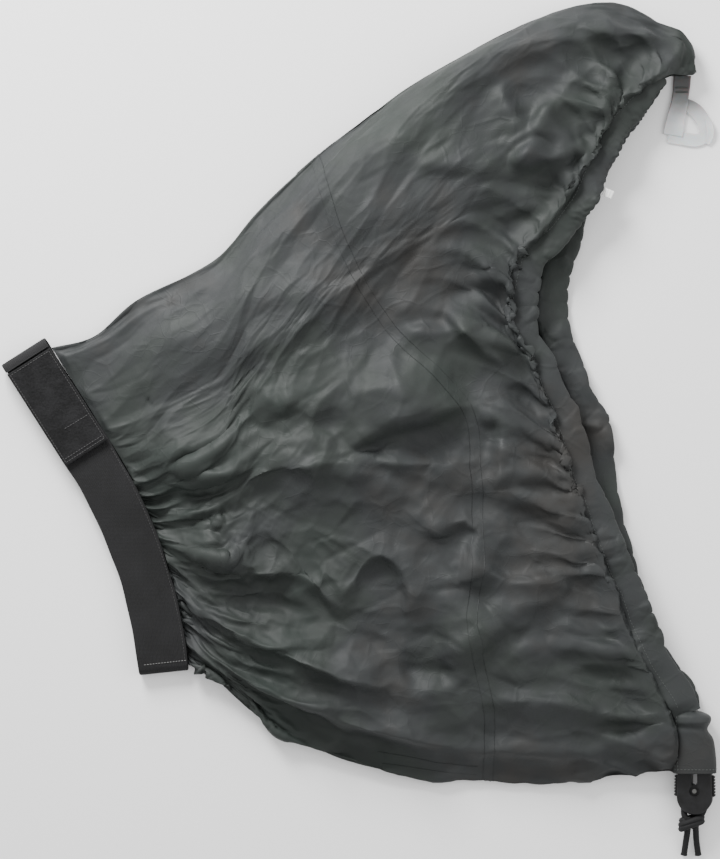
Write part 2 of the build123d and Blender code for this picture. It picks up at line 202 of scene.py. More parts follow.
def cross2(a, b):
    """The cross product of directions in plan."""
    return a[..., 0] * b[..., 1] - a[..., 1] * b[..., 0]


def level(plan, z=0.0):
    """Points or directions in plan, at a height."""
    return np.column_stack([plan, np.full(len(plan), z)])


def squared_off(x, power):
    """x with its size to a power and its sign kept: of a circle's cosine or sine, a fuller curve's."""
    return np.sign(x) * np.abs(x) ** power


def spread(x, y, seed):
    """Scattered numbers from 0 to 1, one for each cell of a lattice."""
    v = np.sin(x * 127.1 + y * 311.7 + seed * 74.7) * 43758.5453
    return v - np.floor(v)


def value_noise(x, y, seed):
    """Smooth noise from -1 to 1, one lattice cell across a unit."""
    i, j = np.floor(x), np.floor(y)
    u, v = smooth(x - i), smooth(y - j)
    low = spread(i, j, seed) * (1 - u) + spread(i + 1, j, seed) * u
    high = spread(i, j + 1, seed) * (1 - u) + spread(i + 1, j + 1, seed) * u
    return 2 * (low * (1 - v) + high * v) - 1


def cells_near(x, y, reach, jitter, seed):
    """Lattice cells near each point, and the way to it from each one's middle, shifted by up to half the jitter."""
    i, j = np.floor(x), np.floor(y)
    for a in range(-reach, reach + 1):
        for b in range(-reach, reach + 1):
            p, q = i + a, j + b
            dx = x - (p + 0.5 + jitter * (spread(p, q, seed) - 0.5))
            dy = y - (q + 0.5 + jitter * (spread(p, q, seed + 1.3) - 0.5))
            yield p, q, dx, dy


def crinkle(x, y, cell, seed):
    """Height of a creased sheet, about -0.5 to 0.5: dished facets that meet in sharp ridges."""
    height = np.full(x.shape, 9.0)
    for p, q, dx, dy in cells_near(x / cell, y / cell, 2, 0.8, seed):
        slope = 1.9 * ((spread(p, q, seed + 2.7) - 0.5) * dx + (spread(p, q, seed + 4.1) - 0.5) * dy)
        height = np.minimum(height, 0.42 * (dx**2 + dy**2) + slope + 0.4 * spread(p, q, seed + 5.9))
    return height - 0.15


def crease_lines(x, y, cell, width, seed):
    """Thin creases, up or down by up to 1, between cells of that size."""
    first, second = np.full(x.shape, 99.0), np.full(x.shape, 99.0)
    for _, _, dx, dy in cells_near(x / cell, y / cell, 1, 0.85, seed):
        reach = np.hypot(dx, dy)
        second = np.where(reach < first, first, np.minimum(second, reach))
        first = np.minimum(first, reach)
    sharp = np.exp(-(((second - first) * cell / 2 / width) ** 1.3))
    return sharp * value_noise(x / cell / 1.7 + 40, y / cell / 1.7, seed + 5) * 1.6


def puffs(along, across, pitch, seed, flat=0.75):
    """Gathers from 0 in the creases to 1 on the puffs, pitch mm apart along an edge; less flat is squarer."""
    along, across = along / pitch, across / pitch
    q = along + 0.45 * np.sin(along / 2.8 + seed) + 0.3 * np.sin(along / 1.1 + 2 * seed)
    q = q + 0.30 * np.sin(across / 0.85 + along / 1.9 + seed) + 0.16 * np.sin(across / 0.36 - along / 0.7)
    size = 0.72 + 0.28 * value_noise(along / 1.3, across / 2.6, seed)
    return np.abs(np.sin(pi * q)) ** flat * size


# -------- the waistband's line

BAND_START = np.array([-330.0, 48.0])
BAND_HEADING = radians(-57.5)
BAND_STRAIGHT, BAND_RADIUS, BAND_TURN = 115.0, 480.0, radians(26.5)
BAND_WIDTH = 50.0
BAND_DIR = np.array([cos(BAND_HEADING), sin(BAND_HEADING), 0.0])
BAND_ACROSS = np.array([-sin(BAND_HEADING), cos(BAND_HEADING), 0.0])
BAND_LENGTH = BAND_STRAIGHT + BAND_RADIUS * BAND_TURN
TAB_Z, BAND_UPPER_Z, BAND_LOWER_Z = 19.3, 14.1, 1.1  # the middle of each run of elastic


def band_point(s):
    """The middle of the band's plan s mm along, and its direction."""
    s = np.asarray(s, float)
    arc = np.maximum(s - BAND_STRAIGHT, 0) / BAND_RADIUS
    heading = BAND_HEADING - arc
    straight = BAND_START + np.minimum(s, BAND_STRAIGHT)[..., None] * BAND_DIR[:2]
    side = np.stack([np.sin(heading) - sin(BAND_HEADING), -(np.cos(heading) - cos(BAND_HEADING))], -1)
    point = straight - BAND_RADIUS * side
    return point, np.stack([np.cos(heading), np.sin(heading)], -1)


# -------- meshes


def grid_faces(rows, columns, wrap=False):
    """Quads over rows x columns of points, wrapping round the columns if asked."""
    last = columns if wrap else columns - 1
    i, j = np.meshgrid(np.arange(rows - 1), np.arange(last), indexing="ij")
    k = (j + 1) % columns
    here, above = i * columns, (i + 1) * columns
    return np.stack([here + j, here + k, above + k, above + j], -1).reshape(-1, 4)


def add_object(name, points, faces, scale=MM):
    """An object in the scene, with smooth shading."""
    mesh = bpy.data.meshes.new(name)
    mesh.from_pydata((np.reshape(points, (-1, 3)) * scale).tolist(), [], faces)
    mesh.polygons.foreach_set("use_smooth", [True] * len(mesh.polygons))
    mesh.update()
    thing = bpy.data.objects.new(name, mesh)
    bpy.context.scene.collection.objects.link(thing)
    return thing


def add_square(name, reach, z):
    """A level square, in metres, that reaches that far each way."""
    corners = [(x * reach, y * reach, z) for x, y in ((-1, -1), (1, -1), (1, 1), (-1, 1))]
    return add_object(name, corners, [(0, 1, 2, 3)], 1)


def grouped(faces):
    return faces if isinstance(faces, tuple) else (faces,)


def add_mesh(name, points, faces, slot, material, body="skirt"):
    """A piece from points in mm and an array of faces, or a tuple of arrays, riding on its body."""
    groups = grouped(faces)
    used = np.unique(np.concatenate([group.ravel() for group in groups]))
    corners = [face for group in groups for face in np.searchsorted(used, group).tolist()]
    piece = add_object(name, np.reshape(points, (-1, 3))[used], corners)
    piece.data.materials.append(material)
    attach(piece, body)
    return piece


def joined(parts):
    """Several (points, faces) as one."""
    points, faces, first = [], [], 0
    for p, f in parts:
        points.append(np.reshape(p, (-1, 3)))
        faces += [group + first for group in grouped(f)]
        first += len(points[-1])
    return np.vstack(points), tuple(faces)


def frames_along(line):
    """Two cross directions along a line, without twist."""
    tangent = tangents(line)
    side = unit(np.cross(tangent[0], (0.3, 0.2, 1.0)))
    sides = []
    for t in tangent:
        side = unit(side - t * side.dot(t))
        sides.append(side)
    return np.array(sides), np.cross(tangent, sides)


def braided_tube(line, radius, flare=0.0, sides=28, step=0.55):
    """A round cord with its braid in relief and closed ends; flare widens its far end, in mm."""
    line = resample(line, max(8, int(run_length(line) / step)))
    a, b = frames_along(line)
    s = distances(line)
    theta = np.linspace(0, 2 * pi, sides, endpoint=False)
    braid = np.sin(4 * theta + s[:, None] * 1.9) * np.sin(4 * theta - s[:, None] * 1.9)
    r = radius - 0.10 + 0.20 * braid
    for end, extra in ((s, 0.0), (s[-1] - s, flare)):
        r = r + extra * bell(end, 1.6)[:, None] * (1 + 0.25 * np.sin(3 * theta + 1.0))
        r = r * (1 - 0.55 * np.clip(1 - end / 0.7, 0, 1) ** 2)[:, None]
    cross = np.cos(theta)[:, None] * a[:, None] + np.sin(theta)[:, None] * b[:, None]
    ring = line[:, None] + r[..., None] * cross
    points = np.vstack([ring.reshape(-1, 3), line[:1], line[-1:]])
    first, last, n = len(points) - 2, len(points) - 1, (len(line) - 1) * sides
    k = np.arange(sides)
    nxt = (k + 1) % sides
    caps = np.vstack([np.stack([nxt, k, k * 0 + first], 1), np.stack([n + k, n + nxt, k * 0 + last], 1)])
    return points, (grid_faces(len(line), sides, wrap=True), caps)


def add_cord(name, tubes, body="pull_cord"):
    """Braided tubes as one piece."""
    return add_mesh(name, *joined(tubes), "shock_cord", SHOCK_CORD, body)


def nurbs_line(points):
    """The centreline of a NURBS spline with these control points, in mm."""
    data = bpy.data.curves.new("route", "CURVE")
    data.dimensions = "3D"
    spline = data.splines.new("NURBS")
    spline.points.add(len(points) - 1)
    for p, q in zip(spline.points, points):
        p.co = (*(np.array(q) * MM), 1)
    spline.order_u = 3
    spline.use_endpoint_u = True
    spline.resolution_u = 24
    route = bpy.data.objects.new("route", data)
    bpy.context.scene.collection.objects.link(route)
    mesh = bpy.data.meshes.new_from_object(route)
    line = np.array([v.co for v in mesh.vertices]) / MM
    bpy.data.objects.remove(route)
    return line


def stitch_marks(line, normals=UP, pitch=3.4, length=2.3, radius=0.3, sink=0.05):
    """Small rounded stitches along a line, lying on its surface."""
    count = max(2, int(run_length(line) / pitch))
    at = resample(np.hstack([line, np.broadcast_to(normals, line.shape)]), count * 2 + 1)[1::2]
    along = tangents(at[:, :3])
    normal = unit(at[:, 3:])
    side = unit(np.cross(along, normal))
    up = np.cross(side, along)
    rings = [(-0.5, 0.35), (-0.36, 0.9), (0.0, 1.0), (0.36, 0.9), (0.5, 0.35)]
    theta = np.linspace(0, 2 * pi, 6, endpoint=False)
    points = []
    for x, r in rings:
        for th in theta:
            lift = radius - sink + radius * r * sin(th) - 0.9 * abs(x) ** 2 * radius
            points.append(at[:, :3] + along * x * length + side * (radius * 1.25 * r * cos(th)) + up * lift)
    points = np.stack(points, 1)
    ring = grid_faces(len(rings), 6, wrap=True)
    n = points.shape[1]
    ends = np.array([[0, 1, 2, 3], [0, 3, 4, 5], [n - 4, n - 5, n - 6, n - 3], [n - 3, n - 6, n - 1, n - 2]])
    faces = np.vstack([ring, ends])
    return points, (faces[None] + (np.arange(count) * n)[:, None, None]).reshape(-1, 4)


def add_stitching(name, rows, material, body="skirt"):
    """Rows of stitches as one piece."""
    return add_mesh(name, *joined(rows), "thread", material, body)


def panel(top, bottom):
    """A closed panel from two grids of points, one over the other."""
    rows, columns = top.shape[:2]
    n = rows * columns
    index = np.arange(n).reshape(rows, columns)
    rim = np.r_[index[0, :-1], index[:-1, -1], index[-1, :0:-1], index[:0:-1, 0]]
    nxt = np.roll(rim, -1)
    faces = grid_faces(rows, columns)
    points = np.vstack([top.reshape(-1, 3), bottom.reshape(-1, 3)])
    return points, np.vstack([faces, faces[:, ::-1] + n, np.stack([rim, rim + n, nxt + n, nxt], 1)])


def slab(surface, length, width, thickness, rows, columns, corner=1.0, relief=None):
    """A thin level panel. surface(x, y) gives its middle; relief(x, y) roughens its top."""
    x = np.linspace(0, length, rows)
    y = np.linspace(-width / 2, width / 2, columns)
    X, Y = np.meshgrid(x, y, indexing="ij")
    edge = np.minimum(np.minimum(X, length - X), np.minimum(Y + width / 2, width / 2 - Y))
    round_off = np.sqrt(np.clip(1 - (1 - np.clip(edge / corner, 0, 1)) ** 2, 0, 1))
    middle = surface(X, Y)
    half = thickness / 2 * (0.25 + 0.75 * round_off)
    rough = 0 if relief is None else relief(X, Y) * round_off
    return panel(middle + UP * (half + rough)[..., None], middle - UP * half[..., None])


# -------- materials


class Surface:
    """A procedural material as it is built up: its shader and the nodes that feed it."""

    def __init__(self, name):
        self.material = bpy.data.materials.new(name)
        self.material.use_nodes = True
        self.nodes = self.material.node_tree.nodes
        self.shader = next(n for n in self.nodes if n.type == "BSDF_PRINCIPLED")
        self.position = self.nodes.new("ShaderNodeTexCoord").outputs["Object"]

    def feed(self, node, inputs):
        """Sets a node's inputs to values, or links them to other nodes' outputs."""
        for socket, value in inputs.items():
            if isinstance(value, bpy.types.NodeSocket):
                self.material.node_tree.links.new(value, node.inputs[socket])
            else:
                node.inputs[socket].default_value = value

    def node(self, kind, inputs, **settings):
        node = self.nodes.new("ShaderNode" + kind)
        for name, value in settings.items():
            setattr(node, name, value)
        self.feed(node, inputs)
        return node

    def noise(self, scale, detail=3.0, roughness=0.5, output="Fac"):
        inputs = {"Scale": scale, "Detail": detail, "Roughness": roughness, "Vector": self.position}
        return self.node("TexNoise", inputs).outputs[output]

    def maths(self, operation, a, b):
        return self.node("Math", {0: a, 1: b}, operation=operation).outputs[0]

    def mixed(self, a, b, share):
        """That share of a, and the rest of b."""
        return self.maths("ADD", self.maths("MULTIPLY", a, share), self.maths("MULTIPLY", b, 1 - share))

    def ramp(self, factor, stops):
        """The colour or grey that the stops give at a factor."""
        node = self.node("ValToRGB", {"Fac": factor})
        elements = node.color_ramp.elements
        while len(elements) < len(stops):
            elements.new(0.5)
        for element, (at, colour) in zip(elements, stops):
            element.position = at
            element.color = (*np.broadcast_to(colour, 3), 1)
        return node.outputs["Color"]

    def bump(self, height, strength, depth, below=None):
        """A bump depth mm deep, over another one if given."""
        inputs = {"Strength": strength, "Distance": depth * MM, "Height": height}
        if below is not None:
            inputs["Normal"] = below
        return self.node("Bump", inputs).outputs["Normal"]

    def weave(self, pitch):
        """Threads pitch mm apart, both ways."""
        inputs = {"Scale": 2 * pi / (20 * pitch * MM), "Vector": self.position}
        first, second = (
            self.node("TexWave", inputs, wave_type="BANDS", bands_direction=way).outputs["Fac"] for way in "XY"
        )
        return self.maths("ADD", first, second)

    def creases(self, cells):
        """Fine crinkles where warped cells meet, so many cells to a metre."""
        shift = self.noise(cells * 0.5, 2.0, output="Color")
        by = {0: shift, 1: (1.2 / cells,) * 3, 2: self.position}
        warp = self.node("VectorMath", by, operation="MULTIPLY_ADD").outputs[0]
        cell = self.node("TexVoronoi", {"Scale": cells, "Vector": warp}, feature="DISTANCE_TO_EDGE")
        strength = self.ramp(self.noise(cells * 0.35, 2.0), [(0.42, 0.0), (0.62, 1.0)])
        return self.maths("MULTIPLY", self.ramp(cell.outputs["Distance"], [(0.0, 1.0), (0.07, 0.0)]), strength)

    def finish(self, inputs):
        self.feed(self.shader, inputs)
        return self.material


def nylon_material(name, tint):
    """Coated nylon: a fine square weave, fine crinkles, and a cloudy dark grey-green."""
    s = Surface(name)
    clouds = [
        (0.30, (0.036, 0.046, 0.041)), (0.44, (0.042, 0.049, 0.045)),
        (0.56, (0.045, 0.049, 0.050)), (0.72, (0.051, 0.049, 0.046)),
    ]
    tints = [(at, tuple(tint * c for c in colour)) for at, colour in clouds]
    under = s.bump(s.noise(120.0, 4.0, 0.6), 0.35, 0.7)
    for cells, depth in ((24.0, 0.45), (65.0, 0.22)):
        under = s.bump(s.creases(cells), 0.6, depth, under)
    return s.finish({
        "Base Color": s.ramp(s.noise(7.0, 4.0, 0.6), tints),
        "Roughness": s.ramp(s.noise(38.0), [(0.3, 0.54), (0.7, 0.68)]),
        "Specular IOR Level": 0.22,
        "Normal": s.bump(s.weave(1.1), 0.25, 0.12, under),
    })


def elastic_material(name):
    """Woven elastic: near black, with fine threads both ways."""
    s = Surface(name)
    fuzz = s.noise(900.0, 2.0)
    shade = s.mixed(fuzz, s.noise(22.0), 0.45)
    return s.finish({
        "Base Color": s.ramp(shade, [(0.3, 0.007), (0.7, (0.017, 0.017, 0.018))]),
        "Roughness": 0.85,
        "Specular IOR Level": 0.25,
        "Normal": s.bump(s.weave(1.3), 0.5, 0.25, s.bump(fuzz, 0.4, 0.2)),
    })


def pile_material(name, dark, light):
    """Brushed loops or hooks: fuzzy, with a soft sheen."""
    s = Surface(name)
    fuzz, matted = s.noise(700.0, 4.0, 0.7), s.noise(60.0)
    return s.finish({
        "Base Color": s.ramp(s.mixed(fuzz, matted, 0.6), [(0.35, dark), (0.68, light)]),
        "Roughness": 0.95,
        "Specular IOR Level": 0.15,
        "Sheen Weight": 0.06,
        "Sheen Roughness": 0.5,
        "Normal": s.bump(fuzz, 0.8, 0.7, s.bump(matted, 0.5, 0.8)),
    })


def speckled_material(name, noise, stops, bump=None, **finish):
    """One noise over dark and light, with a bump from the same noise where one is given."""
    s = Surface(name)
    speckle = s.noise(*noise)
    finish = {socket.replace("_", " "): value for socket, value in finish.items()}
    if bump:
        finish["Normal"] = s.bump(speckle, *bump)
    if isinstance(finish["Roughness"], list):
        finish["Roughness"] = s.ramp(speckle, finish["Roughness"])
    return s.finish({"Base Color": s.ramp(speckle, stops), **finish})


def plastic_material(name):
    """Moulded plastic with a fine spark texture and worn, lighter patches."""
    s = Surface(name)
    wear = s.noise(95.0, 4.0, 0.7)
    return s.finish({
        "Base Color": s.ramp(wear, [(0.35, 0.004), (0.75, (0.011, 0.011, 0.012))]),
        "Roughness": s.ramp(wear, [(0.3, 0.36), (0.7, 0.56)]),
        "Specular IOR Level": 0.28,
        "Normal": s.bump(s.noise(1600.0, 2.0), 0.35, 0.08),
    })


def ribbon_material(name):
    """Thin pale ribbon, a little translucent, with painted shade darkening it at its root by the hem."""
    s = Surface(name)
    along = s.node("SeparateXYZ", {"Vector": s.position}).outputs["Y"]
    # painted shade: the ribbon's colour darkens towards its root, where the hem's edge shades it
    root = s.node("MapRange", {"From Min": 0.283, "From Max": 0.330, "Value": along}).outputs["Result"]
    shade = s.maths("ADD", root, s.maths("MULTIPLY", s.noise(60.0), 0.25))
    stops = [(0.0, (0.74, 0.75, 0.76)), (0.3, (0.52, 0.53, 0.54)), (0.6, (0.20, 0.21, 0.21)), (0.85, 0.07)]
    return s.finish({
        "Base Color": s.ramp(shade, stops),
        "Roughness": 0.38,
        "Subsurface Weight": 0.25,
        "Subsurface Scale": 0.004,
        "Normal": s.bump(s.weave(0.9), 0.3, 0.1),
    })


def thread_material(name, dark, light):
    """Twisted sewing thread."""
    return speckled_material(name, (2500.0, 2.0), [(0.3, dark), (0.7, light)], (0.5, 0.1), Roughness=0.6)


NYLON = nylon_material("coated_nylon", 0.58)
NYLON_SEAM = nylon_material("coated_nylon_seam", 0.56)
ELASTIC = elastic_material("ribbed_elastic")
PILE = pile_material("pile", 0.005, (0.018, 0.018, 0.019))
HOOK = pile_material("hook_tape", 0.007, 0.018)
PLASTIC = plastic_material("moulded_plastic")
STEEL = speckled_material(
    "pin_steel", (2200.0, 2.0), [(0.3, 0.10), (0.7, (0.19, 0.19, 0.18))], Roughness=[(0.3, 0.28), (0.7, 0.42)],
    Metallic=1.0,
)
SHOCK_CORD = speckled_material(
    "shock_cord_sheath", (1300.0,), [(0.3, 0.004), (0.7, (0.014, 0.014, 0.015))], (0.5, 0.2), Roughness=0.72,
    Specular_IOR_Level=0.25,
)
RIBBON = ribbon_material("pale_ribbon")
DARK_THREAD = thread_material("dark_thread", (0.030, 0.034, 0.032), (0.075, 0.082, 0.078))
BLACK_THREAD = thread_material("black_thread", 0.022, 0.050)
PALE_THREAD = thread_material("pale_thread", 0.10, (0.22, 0.22, 0.21))
SATIN = thread_material("satin_label", (0.66, 0.66, 0.64), (0.80, 0.80, 0.79))


# -------- the cloth body


def fold_shape(plan):
    """Height of the designed folds over plan points, and how far their crests lean."""
    height = np.zeros(plan.shape[:-1])
    lean = np.zeros(plan.shape)
    for h, width, steep, points in FOLDS:
        line = curve(points, 70)
        offset = plan[..., None, :] - line
        k = np.argmin((offset**2).sum(-1), -1)
        near = np.take_along_axis(offset, k[..., None, None], -2)[..., 0, :]
        left = left_of(tangents(line)[k])
        distance = np.linalg.norm(near, axis=-1)
        on_steep = steep * (near * left).sum(-1) > 0
        reach = np.where(on_steep, STEEP_WIDTH, width)
        share = k / (len(line) - 1)
        fade = smooth((share + 0.02) / 0.22) * smooth((1.02 - share) / 0.22)
        crest = np.exp(-((distance / reach) ** 1.6)) * (0.12 + 0.88 * fade)
        height += 1.15 * h * crest
        over = bell(distance, np.where(on_steep, STEEP_WIDTH * 0.8, width * 0.6)) * fade
        lean += (steep * LEAN * h * over)[..., None] * left
    return height, lean


def rim_line(hem):
    """The edge of a layer from the sleeve to the tip, just inside the middle of its hem."""
    line = curve(hem, 60)
    edge = line - RIM_OFFSET * left_of(tangents(line))
    return curve([TIP, *TIP_EDGE, *edge[3:-2:4], *SLEEVE_EDGE][::-1], COLUMNS + 1)


def rim_height(u):
    """Height of the upper layer's rim."""
    return RIM_UP + RIM_RISE * smooth(np.minimum(u / 0.022, (1 - u) / 0.05))


def body_plan():
    """Places round each layer, u from rear to front and v from waist to rim, and both layers in plan."""
    plan, heading = band_point(np.linspace(BAND_LENGTH, 0, 400))
    waist = plan + WAIST_OFFSET * left_of(heading)
    along = np.linspace(0, run_length(waist), 400)
    free = smooth((along - (along[-1] - UNGATHERED)) / 30)
    fullness = WAIST_FULLNESS + (1.02 - WAIST_FULLNESS) * free
    gathered = np.r_[0, np.cumsum((fullness[1:] + fullness[:-1]) / 2 * np.diff(along))]
    u, v = np.linspace(0, 1, COLUMNS + 1), np.linspace(0, 1, ROWS)
    edge = np.stack([np.interp(u * gathered[-1], gathered, waist[:, k]) for k in (0, 1)], 1)
    front, rear = curve(FRONT_FOLD, ROWS), curve(REAR_FOLD, ROWS)

    def layer(hem):
        rim = rim_line(hem)
        a, b = u[None, :, None], v[:, None, None]
        corners = (1 - a) * (1 - b) * edge[0] + a * b * rim[-1] + a * (1 - b) * edge[-1] + (1 - a) * b * rim[0]
        return (1 - b) * edge[None] + b * rim[None] + (1 - a) * rear[:, None] + a * front[:, None] - corners

    return u[None], v[:, None], layer(UPPER_HEM), layer(LOWER_HEM)


def ring(upper, lower):
    """Both layers as one ring of columns: out along the upper one, back along the lower one."""
    return np.concatenate([upper[:, :-1], lower[:, :0:-1]], 1)


def gathers(u, v, draw):
    """Designed pleats at the waist and at the rim."""
    at_waist = bell(v, 0.30) * (1 - smooth((u - 0.60) / 0.1))
    at_rim = bell(1 - v, 0.13)
    height = np.zeros((u * v).shape)
    sets = (
        (at_waist, ((15, 5.0), (23, 4.2), (36, 3.0)), 3.1, 1.3),
        (at_rim, ((34, 5.5), (49, 3.2), (21, 4.0)), 3.7, 1.9),
    )
    for weight, waves, a, b in sets:
        for count, size in waves:
            p = draw.uniform(0, 2 * pi)
            warp = 0.8 * np.sin(2 * pi * (u * a + v * b) + p)
            warp += 0.5 * np.sin(2 * pi * (u * 2.3 * a - v * 1.6 * b) + 2 * p)
            height += weight * size * np.sin(2 * pi * count * u + 2 * warp + p)
    return height


def relaxed(grid, passes):
    """Evens out a grid of points inside its edges."""
    for _ in range(passes):
        inner = (grid[:-2, 1:-1] + grid[2:, 1:-1] + grid[1:-1, :-2] + grid[1:-1, 2:]) / 4
        grid = grid.copy()
        grid[1:-1, 1:-1] = 0.5 * grid[1:-1, 1:-1] + 0.5 * inner
    return grid


def evened(grid, passes):
    """Evens out a ring of points between its first and last rows."""
    for _ in range(passes):
        inner = grid[:-2] + grid[2:] + (np.roll(grid, 1, 1) + np.roll(grid, -1, 1))[1:-1]
        grid = np.concatenate([grid[:1], 0.5 * grid[1:-1] + inner / 8, grid[-1:]])
    return grid


def designed_body(u, v, upper, lower):
    """The cloth before simulation, with folds and gathers laid out over the plan, and how far it may grow."""
    half = np.array([run_length(row) for row in upper])[:, None]
    to_fold = np.minimum(u, 1 - u) * half
    to_end = np.minimum(u, 1 - u)
    rim_up = rim_height(u)
    rim_low = 17 - 10.5 * smooth(to_end / 0.05)
    at_fold, ground = 9.0, 2.5
    base = 14 * (1 - v) + rim_up * v + 80 * v * (1 - v) * (0.55 + 0.45 * smooth(v / 0.5))
    z_up = at_fold + (base - at_fold) * (1 - np.exp(-((to_fold / 38) ** 2) * 0.8))
    z_up = z_up * (1 - v**8) + rim_up * v**8
    z_low = ground + (at_fold - ground) * bell(to_fold, 10)
    z_low = z_low * (1 - v**6) + rim_low * v**6
    pleats = gathers(u, v, np.random.RandomState(4))
    calm = 1 - smooth((u - 0.62) / 0.14)
    creases = (3.4 * calm + 1.0) * crinkle(upper[..., 0], upper[..., 1] * 1.5, 46, 1.7)
    creases += (2.0 * calm + 1.2) * crinkle(upper[..., 0] * 1.2, upper[..., 1], 27, 5.1)
    height, lean = fold_shape(upper)
    inside = smooth(to_fold / 22)
    free = smooth(v / 0.05) * smooth((1 - v) / 0.05)
    z_up = z_up + inside * (pleats * (0.3 + 0.7 * smooth(v / 0.06)) + height * free + creases)
    z_low = np.maximum(z_low + 0.8 * np.abs(pleats) * inside * smooth((1 - v) / 0.1), 1.2)
    z_up = np.maximum(z_up, z_low + 3.0 * smooth(to_fold / 14))
    upper = upper + lean * (inside * free)[..., None]
    stack = [np.concatenate([p, z[..., None]], 2) for p, z in ((upper, z_up), (lower, z_low))]
    stack[0] = relaxed(stack[0], 3)
    loose = 1 - smooth((u - 0.50) / 0.14)
    growth = 0.004 + loose * (0.045 + 0.05 * bell(v, 0.22)) + 0.11 * bell(1 - v, 0.17)
    return ring(*stack), ring(growth, growth)


def set_group(piece, name, weights):
    group = piece.vertex_groups.new(name=name)
    flat = weights.reshape(-1)
    for value in np.unique(flat):
        group.add(np.nonzero(flat == value)[0].tolist(), float(value), "REPLACE")


def settle(points, growth):
    """Lets the designed cloth grow by its fullness and buckle against itself and the ground."""
    rows, columns = points.shape[:2]
    cloth = add_object("settling", points, grid_faces(rows, columns, wrap=True).tolist(), SIM_SCALE)
    held = np.full((rows, columns), 0.03)
    held[:, 0] = held[:, columns // 2] = 0.10
    held[0] = held[-1] = 1
    set_group(cloth, "held", held)
    set_group(cloth, "growth", np.round(growth / growth.max(), 2))
    ground = add_square("ground", 15, 0)
    ground.modifiers.new("collision", "COLLISION")
    ground.collision.thickness_outer = 0.008
    ground.collision.cloth_friction = 20
    modifier = cloth.modifiers.new("cloth", "CLOTH")
    s = modifier.settings
    s.quality, s.mass, s.air_damping = 5, 0.05, 2.0
    s.tension_stiffness = s.compression_stiffness = 25
    s.shear_stiffness, s.bending_stiffness = 8, 0.05
    s.tension_damping = s.compression_damping = 8
    s.shear_damping, s.bending_damping = 5, 0.5
    s.vertex_group_mass, s.pin_stiffness = "held", 1.0
    s.vertex_group_shrink, s.shrink_min, s.shrink_max = "growth", 0.0, -float(growth.max())
    s.effector_weights.gravity = 0.35
    c = modifier.collision_settings
    c.use_collision, c.distance_min, c.collision_quality = True, 0.012, 3
    c.use_self_collision, c.self_distance_min, c.self_friction = True, 0.012, 5
    scene = bpy.context.scene
    scene.frame_start, scene.frame_end = 1, SIM_FRAMES
    modifier.point_cache.frame_end = SIM_FRAMES
    for number in range(1, SIM_FRAMES + 1):
        scene.frame_set(number)
    settled = cloth.evaluated_get(bpy.context.evaluated_depsgraph_get()).to_mesh()
    out = np.empty(rows * columns * 3)
    settled.vertices.foreach_get("co", out)
    bpy.data.objects.remove(cloth)
    bpy.data.objects.remove(ground)
    scene.frame_set(1)
    return out.reshape(points.shape) / SIM_SCALE


def finer(a, wrap):
    """Twice the columns (round the ring) or twice the rows, by a cubic through neighbours."""
    if wrap:
        middle = (9 * (a + np.roll(a, -1, 1)) - np.roll(a, 1, 1) - np.roll(a, -2, 1)) / 16
        return np.stack([a, middle], 2).reshape(a.shape[0], -1, a.shape[2])
    padded = np.concatenate([2 * a[:1] - a[1:2], a, 2 * a[-1:] - a[-2:-1]])
    middle = (9 * (padded[1:-2] + padded[2:-1]) - padded[:-3] - padded[3:]) / 16
    out = np.empty((2 * len(a) - 1, *a.shape[1:]))
    out[::2], out[1::2] = a, middle
    return out


def surface_normals(points):
    """Normals of the ring of cloth, outwards."""
    across = np.roll(points, -1, 1) - np.roll(points, 1, 1)
    return unit(np.cross(np.gradient(points, axis=0), across)) * -1


